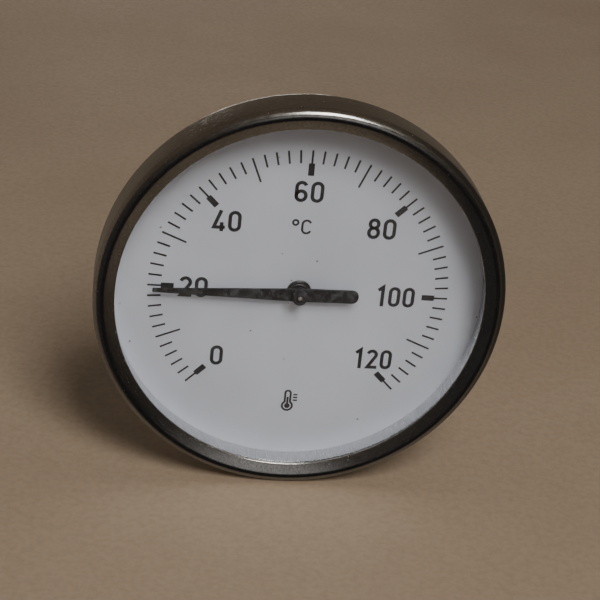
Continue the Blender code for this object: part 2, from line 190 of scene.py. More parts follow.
def finish_mesh(name, bm, look, body, node=None, sharp_deg=38):
    """Makes the bmesh a piece: its look, the body it rides on and the CAD node it stands for."""
    bmesh.ops.remove_doubles(bm, verts=bm.verts, dist=1e-7)
    bmesh.ops.recalc_face_normals(bm, faces=bm.faces)
    mesh = bpy.data.meshes.new(name)
    bm.to_mesh(mesh)
    bm.free()
    mesh.materials.append(look)
    mesh.shade_smooth()
    mesh.set_sharp_from_angle(angle=radians(sharp_deg))
    obj = bpy.data.objects.new(name, mesh)
    bpy.context.scene.collection.objects.link(obj)
    if body:
        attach(obj, body)
    if node:
        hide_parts(node)
    return obj


def arc(centre_x, centre_y, size, start_deg, end_deg, steps=8):
    """Points of an arc, 0 degrees pointing along +x."""
    turn = (end_deg - start_deg) / steps
    angles = [radians(start_deg + turn * i) for i in range(steps + 1)]
    return [(centre_x + size * cos(a), centre_y + size * sin(a)) for a in angles]


def soften(outline, setback, keep=()):
    """Rounds the corners of a closed outline, except those whose index is in keep."""
    points = [Vector(p) for p in outline]
    made = []
    for i, corner in enumerate(points):
        before = points[i - 1]
        after = points[(i + 1) % len(points)]
        shortest = min((before - corner).length, (after - corner).length)
        bend = (corner - before).angle(after - corner, 0.0)
        if i in keep or bend < radians(20):
            made.append(corner)
            continue
        reach = min(setback, 0.45 * shortest)
        start = corner + (before - corner).normalized() * reach
        end = corner + (after - corner).normalized() * reach
        for step in range(SOFTEN_STEPS + 1):
            t = step / SOFTEN_STEPS
            made.append((1 - t) ** 2 * start + 2 * t * (1 - t) * corner + t ** 2 * end)
    return [(p.x, p.y) for p in made]


def turned_mesh(outline_at, sides):
    """A solid turned about the axis. outline_at(angle) gives a closed loop of (radius, z)."""
    bm = bmesh.new()
    columns = []
    for side in range(sides + 1):
        angle = 2 * pi * side / sides
        columns.append([
            bm.verts.new(in_frame(r * cos(angle), r * sin(angle), z))
            for r, z in outline_at(angle)
        ])
    for left, right in zip(columns, columns[1:]):
        for i in range(len(left)):
            corners = (left[i - 1], left[i], right[i], right[i - 1])
            bm.faces.new(corners)
    bmesh.ops.remove_doubles(bm, verts=bm.verts, dist=1e-7)
    bmesh.ops.dissolve_degenerate(bm, edges=bm.edges, dist=1e-8)
    return bm


def turned(name, outline, look, body="housing", sides=LARGE_SIDES, node=None):
    """A turned piece that stands for the CAD node of the same purpose."""
    bm = turned_mesh(lambda angle: outline, sides)
    return finish_mesh(name, bm, look, body, node or name[:-5])


def strip_along(bm, path, half_width, low_z, high_z, closed=False):
    """Adds a raised strip of even width along a path of (x, y) points, with square ends."""
    points = [Vector(p) for p in path]
    count = len(points)
    sections = []
    for i, point in enumerate(points):
        before = points[i - 1] if i or closed else None
        after = points[(i + 1) % count] if i < count - 1 or closed else None
        into = (point - before).normalized() if before is not None else None
        out = (after - point).normalized() if after is not None else None
        along = (into or out) if into is None or out is None else (into + out).normalized()
        stretch = 1 / max(0.3, along.dot(out or into))
        side = Vector((-along.y, along.x)) * half_width * stretch
        sections.append([
            bm.verts.new(in_frame(*(point + side), low_z)),
            bm.verts.new(in_frame(*(point + side), high_z)),
            bm.verts.new(in_frame(*(point - side), high_z)),
            bm.verts.new(in_frame(*(point - side), low_z)),
        ])
    pairs = list(zip(sections, sections[1:]))
    if closed:
        pairs.append((sections[-1], sections[0]))
    for a, b in pairs:
        for i in range(4):
            bm.faces.new((a[i - 1], a[i], b[i], b[i - 1]))
    if not closed:
        bm.faces.new(sections[0])
        bm.faces.new(list(reversed(sections[-1])))


def scale_angle(celsius):
    """Direction of a reading on the dial, in radians, anticlockwise from +x."""
    from_top = (celsius - (LOW_C + HIGH_C) / 2) * SWEEP_DEG / (HIGH_C - LOW_C)
    return radians(90 - from_top)


# Materials


class Look:
    """A material with one Principled shader, and short ways to add the nodes that feed it."""

    def __init__(self, name, **settings):
        self.material = bpy.data.materials.new(name)
        self.material.use_nodes = True
        self.tree = self.material.node_tree
        self.shader = self.tree.nodes["Principled BSDF"]
        self.output = self.tree.nodes["Material Output"]
        for socket, value in settings.items():
            self.shader.inputs[socket.replace("_", " ")].default_value = value

    def node(self, kind, inputs=None, **properties):
        made = self.tree.nodes.new(kind)
        for key, value in properties.items():
            setattr(made, key, value)
        for key, value in (inputs or {}).items():
            self.feed(made.inputs[key], value)
        return made

    def feed(self, socket, value):
        if isinstance(value, bpy.types.NodeSocket):
            self.tree.links.new(value, socket)
        else:
            socket.default_value = value

    def set(self, socket, value):
        self.feed(self.shader.inputs[socket], value)

    def place(self):
        return self.node("ShaderNodeTexCoord").outputs["Object"]

    def math(self, operation, a, b=0.0, clamp=False):
        made = self.node("ShaderNodeMath", operation=operation, use_clamp=clamp)
        self.feed(made.inputs[0], a)
        self.feed(made.inputs[1], b)
        return made.outputs[0]

    def vector(self, operation, a, b=(0.0, 0.0, 0.0)):
        made = self.node("ShaderNodeVectorMath", operation=operation)
        self.feed(made.inputs[0], a)
        self.feed(made.inputs[1], b)
        return made

    def noise(self, vector, scale, detail=3.0, roughness=0.5, w=None):
        inputs = {"Vector": vector, "Scale": scale, "Detail": detail, "Roughness": roughness}
        kind = "3D"
        if w is not None:
            inputs["W"] = w
            kind = "4D"
        made = self.node("ShaderNodeTexNoise", noise_dimensions=kind)
        for key, value in inputs.items():
            self.feed(made.inputs[key], value)
        return made.outputs["Fac"]

    def between(self, value, low, high, to_low=0.0, to_high=1.0):
        """The value's share of the way from low to high, as a number from to_low to to_high."""
        return self.node("ShaderNodeMapRange", {
            "Value": value, "From Min": low, "From Max": high,
            "To Min": to_low, "To Max": to_high,
        }).outputs["Result"]

    def blend(self, share, a, b):
        made = self.node("ShaderNodeMix", data_type="RGBA")
        self.feed(made.inputs[0], share)
        self.feed(made.inputs[6], a)
        self.feed(made.inputs[7], b)
        return made.outputs[2]

    def ring_grain(self, along, across, detail=2.0):
        """Noise drawn out round the axis, as a lathe or a polishing wheel leaves it."""
        flat = self.vector("MULTIPLY", self.place(), (1.0, 0.0, 1.0)).outputs["Vector"]
        around = self.vector("NORMALIZE", flat).outputs["Vector"]
        distance = self.vector("LENGTH", flat).outputs["Value"]
        height = self.vector("MULTIPLY", self.place(), (0.0, across, 0.0)).outputs["Vector"]
        spread = self.vector("SCALE", around)
        spread.inputs["Scale"].default_value = along
        where = self.vector("ADD", spread.outputs["Vector"], height).outputs["Vector"]
        return self.noise(where, 1.0, detail, w=self.math("MULTIPLY", distance, across))

    def bump(self, height, distance, strength=1.0):
        made = self.node("ShaderNodeBump", {"Height": height, "Distance": distance})
        made.inputs["Strength"].default_value = strength
        self.set("Normal", made.outputs["Normal"])

    def specks(self, scale, size, share):
        """Scattered round specks: 1 inside one, 0 outside. share is how many cells have one."""
        cells = self.node("ShaderNodeTexVoronoi", {"Vector": self.place(), "Scale": scale})
        near = self.between(cells.outputs["Distance"], size * 0.7, size, 1.0, 0.0)
        pick = self.node("ShaderNodeSeparateColor", {"Color": cells.outputs["Color"]})
        chosen = self.math("LESS_THAN", pick.outputs["Red"], share)
        return self.math("MULTIPLY", near, chosen)


def metal(name, colour, tarnish, roughness, grain=(14.0, 9000.0), wear=0.5, dust=0.05):
    """Worked metal: fine turned or rolled grain, cloudy tarnish and a little dust."""
    look = Look(name, Metallic=1.0)
    grain_noise = look.ring_grain(*grain)
    cloud = look.noise(look.place(), 90.0, 4.0, 0.6)
    stained = look.blend(look.between(cloud, 0.35, 0.75, 0.0, wear), (*colour, 1), (*tarnish, 1))
    specks = look.specks(1400.0, 0.2, dust)
    look.set("Base Color", look.blend(look.math("MULTIPLY", specks, 0.5), stained,
                                      (0.55, 0.52, 0.48, 1)))
    rough = look.between(grain_noise, 0.3, 0.7, roughness * 0.75, roughness * 1.25)
    hazed = look.math("ADD", rough, look.between(cloud, 0.4, 0.8, 0.0, 0.1))
    look.set("Roughness", look.math("ADD", hazed, look.math("MULTIPLY", specks, 0.4), True))
    look.bump(grain_noise, 0.000004)
    return look.material


def plated_look():
    """Polished plate on pressed steel, brushed round the ring, with dull spots and dust."""
    look = Look("polished_plate", Metallic=1.0)
    grain_noise = look.ring_grain(22.0, 7000.0)
    cloud = look.noise(look.place(), 70.0, 4.0, 0.5)
    base = look.blend(look.between(cloud, 0.35, 0.7), (0.50, 0.48, 0.45, 1), (0.38, 0.36, 0.33, 1))
    grit = look.noise(look.place(), 2400.0, 2.0, 0.6)
    sandy = look.blend(look.between(grit, 0.42, 0.66, 0.0, 0.55), base, (0.26, 0.25, 0.235, 1))
    specks = look.specks(1300.0, 0.15, 0.06)
    look.set("Base Color", look.blend(look.math("MULTIPLY", specks, 0.5), sandy,
                                      (0.62, 0.6, 0.56, 1)))
    brushed = look.between(grain_noise, 0.3, 0.7, 0.14, 0.26)
    dulled = look.math("ADD", brushed, look.between(cloud, 0.45, 0.75, 0.0, 0.06))
    look.set("Roughness", look.math("ADD", dulled, look.math("MULTIPLY", specks, 0.4), True))
    look.bump(grain_noise, 0.000004)
    return look.material


def glass_look():
    """Clear glass with faint smears, which lets the lamps through to the dial."""
    look = Look("window_glass", Transmission_Weight=1.0, IOR=1.5)
    look.set("Base Color", (0.97, 0.985, 0.985, 1))
    smear = look.noise(look.vector("MULTIPLY", look.place(), (1.0, 1.0, 0.35)).outputs["Vector"],
                       60.0, 5.0, 0.62)
    look.set("Roughness", look.between(smear, 0.5, 0.8, 0.0, 0.05))
    film = look.node("ShaderNodeBsdfDiffuse", {"Color": (0.8, 0.82, 0.85, 1)})
    specks = look.specks(420.0, 0.12, 0.05)
    smear_share = look.between(smear, 0.45, 0.8, 0.001, 0.03)
    film_share = look.math("MAXIMUM", smear_share, look.math("MULTIPLY", specks, 0.3))
    filmed = look.node("ShaderNodeMixShader", {0: film_share})
    look.feed(filmed.inputs[1], look.shader.outputs["BSDF"])
    look.feed(filmed.inputs[2], film.outputs["BSDF"])
    clear = look.node("ShaderNodeBsdfTransparent", {"Color": (0.93, 0.94, 0.94, 1)})
    lamp_ray = look.node("ShaderNodeLightPath").outputs["Is Shadow Ray"]
    through = look.node("ShaderNodeMixShader", {0: lamp_ray})
    look.feed(through.inputs[1], filmed.outputs["Shader"])
    look.feed(through.inputs[2], clear.outputs["BSDF"])
    look.feed(look.output.inputs["Surface"], through.outputs["Shader"])
    return look.material


def painted_look(name, colour, shade, roughness, peel_scale, dust_colour, dust_share):
    """Baked paint: a faint cloudy tone, fine orange peel and dust that lies on it."""
    look = Look(name)
    cloud = look.noise(look.place(), 45.0, 5.0, 0.6)
    tone = look.blend(look.between(cloud, 0.3, 0.7), (*colour, 1), (*shade, 1))
    specks = look.specks(1700.0, 0.22, dust_share)
    look.set("Base Color", look.blend(look.math("MULTIPLY", specks, 0.6), tone,
                                      (*dust_colour, 1)))
    peel = look.noise(look.place(), peel_scale, 2.0, 0.5)
    look.set("Roughness", look.between(peel, 0.3, 0.7, roughness * 0.85, roughness * 1.15))
    look.bump(peel, 0.00001, 0.6)
    return look.material


def spacer_look():
    """Bright strip, finely scored across its width by the shears and rollers."""
    look = Look("spacer_steel", Metallic=1.0)
    flat = look.vector("MULTIPLY", look.place(), (1.0, 0.0, 1.0)).outputs["Vector"]
    around = look.vector("NORMALIZE", flat).outputs["Vector"]
    spread = look.vector("SCALE", around)
    spread.inputs["Scale"].default_value = 190.0
    height = look.vector("MULTIPLY", look.place(), (0.0, 260.0, 0.0)).outputs["Vector"]
    scores = look.noise(look.vector("ADD", spread.outputs["Vector"], height).outputs["Vector"],
                        1.0, 3.0, 0.65)
    look.set("Base Color", look.blend(look.between(scores, 0.35, 0.7), (0.80, 0.80, 0.81, 1),
                                      (0.58, 0.58, 0.59, 1)))
    look.set("Roughness", look.between(scores, 0.3, 0.7, 0.18, 0.32))
    look.bump(scores, 0.000012, 0.7)
    return look.material


def pointer_look():
    """Matt black paint with pale dust lying on it, in soft clouds and specks."""
    look = Look("pointer_black")
    cloud = look.noise(look.place(), 900.0, 4.0, 0.7)
    dust = look.between(cloud, 0.46, 0.68, 0.0, 0.45)
    specks = look.specks(2600.0, 0.3, 0.25)
    lying = look.math("MAXIMUM", dust, look.math("MULTIPLY", specks, 0.6))
    look.set("Base Color", look.blend(lying, (0.011, 0.011, 0.014, 1), (0.2, 0.2, 0.215, 1)))
    look.set("Roughness", look.between(cloud, 0.3, 0.7, 0.45, 0.7))
    look.shader.inputs["Specular IOR Level"].default_value = 0.2
    look.bump(cloud, 0.00002, 0.7)
    return look.material


def ink_look():
    """Screen-printed ink, blue-black and a little uneven."""
    look = Look("dial_ink")
    cloud = look.noise(look.place(), 1500.0, 3.0, 0.6)
    look.set("Base Color", look.blend(look.between(cloud, 0.3, 0.75),
                                      (0.008, 0.009, 0.014, 1), (0.03, 0.031, 0.04, 1)))
    look.set("Roughness", look.between(cloud, 0.3, 0.7, 0.4, 0.6))
    look.bump(cloud, 0.000004)
    return look.material


def rubber_look():
    look = Look("black_rubber")
    grit = look.noise(look.place(), 1800.0, 4.0, 0.6)
    look.set("Base Color", look.blend(grit, (0.014, 0.014, 0.014, 1), (0.05, 0.05, 0.05, 1)))
    look.set("Roughness", look.between(grit, 0.2, 0.8, 0.65, 0.9))
    look.bump(grit, 0.00003)
    return look.material


def floor_look():
    """Plain pale warm card with a faint fibre."""
    look = Look("pale_card")
    fibre = look.noise(look.place(), 700.0, 4.0, 0.65)
    cloud = look.noise(look.place(), 16.0, 3.0, 0.5)
    tone = look.blend(look.between(cloud, 0.35, 0.65), (0.59, 0.44, 0.305, 1),
                      (0.64, 0.485, 0.34, 1))
    look.set("Base Color", look.blend(look.between(fibre, 0.4, 0.7, 0.0, 0.4), tone,
                                      (0.42, 0.305, 0.205, 1)))
    look.set("Roughness", look.between(fibre, 0.3, 0.7, 0.75, 0.95))
    look.bump(fibre, 0.00006, 0.6)
    return look.material


# Head


def make_bezel(look):
    """Pressed ring: a sloping lip on the glass, a rounded shoulder and an edge rolled in."""
    lip_z = GLASS_FRONT_Z + AIR
    lip_edge_r = 0.35
    hook_bend = 0.3
    bend_r = BEZEL_R - BEZEL_SHOULDER_R
    bend_z = BEZEL_FRONT_Z - BEZEL_SHOULDER_R
    outside = [
        (BEZEL_LIP_R, lip_z + 0.1),
        *arc(BEZEL_LIP_R + lip_edge_r, lip_z + SHEET - lip_edge_r, lip_edge_r, 170, 112, 5),
        *arc(bend_r, bend_z, BEZEL_SHOULDER_R, 111, 0, 28),
        *arc(BEZEL_R - SHEET, BEZEL_BACK_Z + SHEET, SHEET, 0, -90, 8),
    ]
    inside = [
        *arc(BEZEL_HOOK_R + SHEET / 2, BEZEL_BACK_Z + SHEET / 2, SHEET / 2, -90, -270, 6),
        (BEZEL_R - SHEET - hook_bend, BEZEL_BACK_Z + SHEET),
        (BEZEL_R - SHEET, BEZEL_BACK_Z + SHEET + hook_bend),
        *arc(bend_r, bend_z, BEZEL_SHOULDER_R - SHEET, 0, 100, 10),
        (BEZEL_LIP_R + 0.15, lip_z),
    ]
    turned("bezel_ring_look", outside + inside, look)


def make_glass(look):
    """Disc of flat glass with its edges ground off."""
    ground = 0.25
    size = radius("window_glass")
    outline = [
        (0, GLASS_FRONT_Z), (size - ground, GLASS_FRONT_Z), (size, GLASS_FRONT_Z - ground),
        (size, GLASS_BACK_Z + ground), (size - ground, GLASS_BACK_Z), (0, GLASS_BACK_Z),
    ]
    turned("window_glass_look", outline, look)


def make_ring(node, inner_r, look, setback=0.12, sides=LARGE_SIDES, body="housing"):
    """A plain ring or washer with softened edges, in its CAD node's place."""
    low, high, outer_r = back(node), front(node), radius(node)
    outline = soften([(inner_r, low), (inner_r, high), (outer_r, high), (outer_r, low)], setback)
    turned(node + "_look", outline, look, body, sides)


def make_dial_support(look):
    low, high = back("dial_support_ring"), front("dial_support_ring")
    outer_r = radius("dial_support_ring")
    foot_r = radius("case_body") - CASE_RIM_FOLD - CASE_CORNER_R
    outline = [
        (foot_r - SHEET, low), (foot_r - SHEET, high), (outer_r, high),
        (outer_r, high - SHEET), (foot_r, high - SHEET), (foot_r, low),
    ]
    turned("dial_support_ring_look", soften(outline, 0.5, keep=(0, 2, 3, 5)), look)


def make_case(look):
    """Drawn cup with a round corner at the back, its rim folded out and back down."""
    back_z, rim_z, rim_r = back("case_body"), front("case_body"), radius("case_body")
    inner_r = rim_r - CASE_RIM_FOLD
    wall_r = inner_r + SHEET
    bend_in, bend_out = 0.4, 0.5
    corner_z = back_z + CASE_CORNER_R
    corner_r = wall_r - CASE_CORNER_R
    hem_z = rim_z - CASE_RIM_DROP
    outline = [
        (CASE_HOLE_R, back_z + SHEET),
        *arc(corner_r, corner_z, CASE_CORNER_R - SHEET, -90, 0, 10),
        (inner_r, rim_z - bend_in),
        (inner_r + bend_in, rim_z),
        *arc(rim_r - bend_out, rim_z - bend_out, bend_out, 90, 0, 5),
        (rim_r, hem_z),
        (rim_r - SHEET, hem_z),
        (rim_r - SHEET, rim_z - SHEET),
        (wall_r, rim_z - SHEET),
        *arc(corner_r, corner_z, CASE_CORNER_R, 0, -90, 14),
        (CASE_HOLE_R, back_z),
    ]
    turned("case_body_look", outline, look)


# Scale print


def digit_strokes(digit, width, height, stroke):
    """The centre lines of one upright numeral, from its lower left corner. Closed ones repeat."""
    half = (width - stroke) / 2
    mid = width / 2
    low, high = stroke / 2, height - stroke / 2
    if digit == "0":
        return [(arc(mid, high - half, half, 180, 0, 12) + arc(mid, low + half, half, 0, -180, 12),
                 True)]
    if digit == "1":
        stem_x = width * 0.58
        return [([(width * 0.19, height * 0.80), (stem_x, height * 0.97), (stem_x, 0)], False)]
    if digit == "2":
        bowl = arc(mid, high - half, half, 165, -38, 14)
        return [(bowl + [(stroke * 0.62, low), (width, low)], False)]
    if digit == "4":
        bar_y = height * 0.19
        diagonal = [(width * 0.66, height), (stroke * 0.55, bar_y), (width, bar_y)]
        return [(diagonal, False), ([(width * 0.74, height * 0.43), (width * 0.74, 0)], False)]
    if digit == "6":
        bowl_top = height * 0.60 - stroke / 2
        bowl = (arc(mid, bowl_top - half, half, 180, 0, 12)
                + arc(mid, low + half, half, 0, -180, 12))
        back_line = [(mid - half, low + half), *arc(mid, high - half, half, 180, 22, 12)]
        return [(bowl, True), (back_line, False)]
    upper = half * 0.88  # 8
    waist = height * 0.53
    top = (arc(mid, high - upper, upper, 180, 0, 12) + arc(mid, waist + upper, upper, 0, -180, 12))
    bottom = (arc(mid, waist - half, half, 180, 0, 12) + arc(mid, low + half, half, 0, -180, 12))
    return [(top, True), (bottom, True)]


def write_number(bm, text, centre_x, centre_y):
    """Adds a number of the scale, centred on a point of the dial."""
    width, advance = DIGIT_WIDTH, DIGIT_ADVANCE
    if len(text) == 3:
        width, advance = NARROW_WIDTH, NARROW_ADVANCE
    steps = [advance * ONE_ADVANCE if c == "1" else advance for c in text]
    x = centre_x - (sum(steps) - (advance - width)) / 2
    y = centre_y - NUMBER_HEIGHT / 2
    for character, step in zip(text, steps):
        for path, closed in digit_strokes(character, width, NUMBER_HEIGHT, NUMBER_STROKE):
            moved = [(x + px, y + py) for px, py in path]
            strip_along(bm, moved, NUMBER_STROKE / 2, INK_LOW_Z, INK_TOP_Z, closed)
        x += step


def make_ticks(ink):
    """One tick every 2 degrees, a longer one every 10, and a block at each number."""
    bm = bmesh.new()
    outer_r, short_r, long_r = 1.007 * TICK_CIRCLE_R, 0.917 * TICK_CIRCLE_R, 0.832 * TICK_CIRCLE_R
    tick_half, block_half = 0.2, 0.6
    block_top_z = INK_TOP_Z + 0.004
    for celsius in range(int(LOW_C), int(HIGH_C) + 1, TICK_STEP_C):
        angle = scale_angle(celsius)
        numbered = celsius % NUMBER_STEP_C == 0
        inner_r = long_r if celsius % NUMBER_STEP_C == NUMBER_STEP_C / 2 else short_r
        ends = [(r * cos(angle), r * sin(angle)) for r in (outer_r, inner_r)]
        strip_along(bm, ends, tick_half, INK_LOW_Z, INK_TOP_Z)
        if numbered:
            block = [(r * cos(angle), r * sin(angle)) for r in (short_r, long_r)]
            strip_along(bm, block, block_half, INK_LOW_Z, block_top_z)
    finish_mesh("scale_ticks", bm, ink, "housing")


def make_numbers(ink):
    centres = {  # in tick-circle radii
        "0": (-0.513, -0.503), "20": (-0.703, 0.0), "40": (-0.517, 0.485), "60": (0.002, 0.72),
        "80": (0.505, 0.485), "100": (0.652, -0.005), "120": (0.553, -0.483),
    }
    bm = bmesh.new()
    for text, (x, y) in centres.items():
        write_number(bm, text, x * TICK_CIRCLE_R, y * TICK_CIRCLE_R)
    finish_mesh("scale_numbers", bm, ink, "housing")


def make_unit_sign(ink):
    """The degree ring and the C, in a lighter line than the numbers."""
    bm = bmesh.new()
    ring_x, ring_y = -0.067 * TICK_CIRCLE_R, 0.500 * TICK_CIRCLE_R
    ring_r, ring_half, letter_half = 0.52, 0.21, 0.22
    ring = arc(ring_x, ring_y, ring_r, 0, 345, 23)
    strip_along(bm, ring, ring_half, INK_LOW_Z, INK_TOP_Z, True)
    x, y = 0.007 * TICK_CIRCLE_R, 0.472 * TICK_CIRCLE_R
    bend, rise = 0.84, 0.54
    letter = arc(x, y + rise, bend, 20, 180, 12) + arc(x, y - rise, bend, 180, 340, 12)
    strip_along(bm, letter, letter_half, INK_LOW_Z, INK_TOP_Z)
    finish_mesh("unit_sign", bm, ink, "housing")


def make_emblem(ink):
    """A small plain drawing of a thermometer: a stem with a round bulb and three marks."""
    bm = bmesh.new()
    x, y = 0.0, -0.833 * TICK_CIRCLE_R
    bulb_r, stem_half, stem_top = 1.05, 0.56, 1.8
    line, thin_line = 0.22, 0.17
    drop_r, drop_half, drop_top_z = 0.3, 0.29, INK_TOP_Z + 0.002
    join_deg = 58
    bulb = arc(x, y - 1.2, bulb_r, 180 - join_deg, 360 + join_deg, 24)
    top = arc(x, y + stem_top, stem_half, 0, 180, 10)
    strip_along(bm, bulb + top, line, INK_LOW_Z, INK_TOP_Z, True)
    strip_along(bm, [(x, y - 1.4), (x, y + 0.9)], line, INK_LOW_Z, INK_TOP_Z)
    strip_along(bm, arc(x, y - 1.2, drop_r, 0, 345, 15), drop_half, INK_LOW_Z, drop_top_z, True)
    for mark in range(3):
        mark_y = y + 0.15 + 0.66 * mark
        strip_along(bm, [(x + 1.1, mark_y), (x + 2.0, mark_y)], thin_line, INK_LOW_Z, INK_TOP_Z)
    finish_mesh("thermometer_emblem", bm, ink, "housing")


# Fitting and stem


def hexagon_radius(angle, across_flats):
    """Distance from the axis to the side of a hexagon in one direction, 0 being a corner."""
    from_flat = (angle % (pi / 3)) - pi / 6
    return across_flats / 2 / cos(from_flat)


def hexagon_outline(angle, across_flats, low_z, high_z, inner_r):
    """Section of a hexagon whose corners are turned down, from bore edge to bore edge."""
    side_r = hexagon_radius(angle, across_flats)
    face_r = CHAMFER_CIRCLE * across_flats / 2
    drop = (side_r - face_r) * tan(radians(CHAMFER_DEG))
    return [
        (inner_r, high_z), (face_r, high_z), (side_r, high_z - drop),
        (side_r, low_z + drop), (face_r, low_z), (inner_r, low_z),
    ]


def thread_column(angle):
    """One column of the helical thread, from the relief to the end, rounded at crest and root."""
    half = (THREAD_MAJOR_R - THREAD_MINOR_R) / 2
    mean_r = THREAD_MINOR_R + half
    flank_steepness = 1.35
    shares = 10
    count = int((RELIEF_END_Z - THREAD_END_Z) / THREAD_PITCH + 3) * shares
    column = []
    for step in range(count):
        z = RELIEF_END_Z + THREAD_PITCH * (1 + angle / (2 * pi) - step / shares)
        z = min(RELIEF_END_Z, max(THREAD_END_Z, z))
        wave = sin(2 * pi * step / shares)
        full_r = mean_r + half * max(-1.0, min(1.0, flank_steepness * wave))
        room = min(RELIEF_END_Z - z, z - THREAD_END_Z)
        column.append((min(full_r, THREAD_MINOR_R + room), z))
    return column


def make_fitting(look):
    """Hexagon with the neck in front and the process thread behind, bored for the stem."""
    across_flats = (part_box("threaded_fitting")[1].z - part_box("threaded_fitting")[0].z) / MM
    neck_top = front("threaded_fitting")

    def outline(angle):
        hexagon = hexagon_outline(angle, across_flats, 0.0, HEX_TOP_Z, NECK_R)[:-1]
        return [
            (BUSH_BORE_R, neck_top), (NECK_R - 0.5, neck_top), (NECK_R, neck_top - 0.5),
            *hexagon,
            (THREAD_MINOR_R + 0.3, 0.0), (THREAD_MINOR_R, -0.3),
            *thread_column(angle),
            (TUBE_BORE_R + 0.3, THREAD_END_Z), (TUBE_BORE_R, THREAD_END_Z + 0.3),
            (TUBE_BORE_R, TUBE_BORE_END_Z), (BUSH_BORE_R, TUBE_BORE_END_Z),
        ]

    bm = turned_mesh(outline, SMALL_SIDES)
    finish_mesh("threaded_fitting_look", bm, look, "housing", "threaded_fitting")


def make_nut(look):
    low, high = back("lock_nut"), front("lock_nut")
    across_flats = 2 * radius("lock_nut")
    bore_r = NECK_R + NUT_CLEARANCE

    def outline(angle):
        return hexagon_outline(angle, across_flats, low, high, bore_r)

    finish_mesh("lock_nut_look", turned_mesh(outline, SMALL_SIDES), look, "housing",
                "lock_nut")


def make_end_plug(look):
    """Plug with a domed end, and a fine groove where it meets the tube."""
    bore_r = BEARING_R
    top_z = front("stem_end_plug")
    head_z = back("stem_tube") - AIR
    spigot_r = STEM_R - 0.6
    edge_r = 1.0
    outline = [
        (0, top_z - 1.3), (bore_r, top_z - 1.3), (bore_r, top_z), (spigot_r, top_z),
        (spigot_r, head_z), (STEM_R - 0.12, head_z), (STEM_R, head_z - 0.12),
        *arc(STEM_R - edge_r, STEM_END_Z + edge_r, edge_r, 0, -90, 10),
        (0, STEM_END_Z),
    ]
    turned("stem_end_plug_look", outline, look, sides=SMALL_SIDES)


def make_anchor(look):
    low, high = back("helix_anchor"), front("helix_anchor")
    flange_z = high - COIL_STRIP[1] - AIR
    outer_r = radius("helix_anchor")
    outline = [
        (BEARING_R, high), (COIL_SEAT_R, high), (COIL_SEAT_R, flange_z),
        (outer_r, flange_z), (outer_r, low), (BEARING_R, low),
    ]
    turned("helix_anchor_look", soften(outline, 0.12), look, sides=SMALL_SIDES)


def make_helix(look):
    """The bimetal strip, whose ends sit on the housing and on the spindle, drawn as one even coil
    on no body.
    """
    sides = 32
    thickness, width = COIL_STRIP
    low = back("bimetal_helix") + width / 2
    high = front("bimetal_helix") - width / 2
    steps = COIL_TURNS * sides
    corners = [(COIL_R - thickness / 2, width / 2), (COIL_R + thickness / 2, width / 2),
               (COIL_R + thickness / 2, -width / 2), (COIL_R - thickness / 2, -width / 2)]
    bm = bmesh.new()
    sections = []
    for step in range(steps + 1):
        angle = 2 * pi * step / sides
        z = low + (high - low) * step / steps
        sections.append([
            bm.verts.new(in_frame(r * cos(angle), r * sin(angle), z + rise)) for r, rise in corners
        ])
    for a, b in zip(sections, sections[1:]):
        for i in range(4):
            bm.faces.new((a[i - 1], a[i], b[i], b[i - 1]))
    bm.faces.new(sections[0])
    bm.faces.new(list(reversed(sections[-1])))
    coil = finish_mesh("bimetal_helix_look", bm, look, None, "bimetal_helix")
    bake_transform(coil)


def make_bush(look):
    """Turned bush whose stepped nose fills the hole of the dial."""
    low, high = back("bearing_bush"), front("bearing_bush")
    collar_r, collar_height = BUSH_COLLAR
    collar_low = front("threaded_fitting") + AIR
    collar_high = collar_low + collar_height
    outline = [
        (BEARING_R, high - 0.12), (BEARING_R + 0.12, high), (BUSH_STEP_R - 0.08, high),
        (BUSH_STEP_R, high - 0.08), (BUSH_STEP_R, DIAL_Z), (BUSH_NOSE_R - 0.1, DIAL_Z),
        (BUSH_NOSE_R, DIAL_Z - 0.1), (BUSH_NOSE_R, collar_high), (collar_r, collar_high),
        (collar_r, collar_low), (BUSH_BORE_R - AIR, collar_low), (BUSH_BORE_R - AIR, low),
        (BEARING_R, low),
    ]
    turned("bearing_bush_look", outline, look, sides=SMALL_SIDES)


# Pointer


def make_spindle(look):
    low, high = back("spindle"), front("spindle")
    outline = [
        (0, high), (SPINDLE_NOSE_R - 0.1, high), (SPINDLE_NOSE_R, high - 0.1),
        (SPINDLE_NOSE_R, SPINDLE_SHOULDER_Z), (SPINDLE_R, SPINDLE_SHOULDER_Z),
        (SPINDLE_R, low + 0.1),
        (SPINDLE_R - 0.1, low), (0, low),
    ]
    turned("spindle_look", outline, look, "pointer", SMALL_SIDES)


def make_collet(look):
    low, high = back("helix_collet"), front("helix_collet")
    bore_r = SPINDLE_R + AIR / 2
    flange_z = high - 1.0
    outline = [(bore_r, low), (bore_r, high), (COIL_R, high), (COIL_R, flange_z),
               (COIL_SEAT_R, flange_z), (COIL_SEAT_R, low)]
    turned("helix_collet_look", soften(outline, 0.12), look, "pointer", SMALL_SIDES)


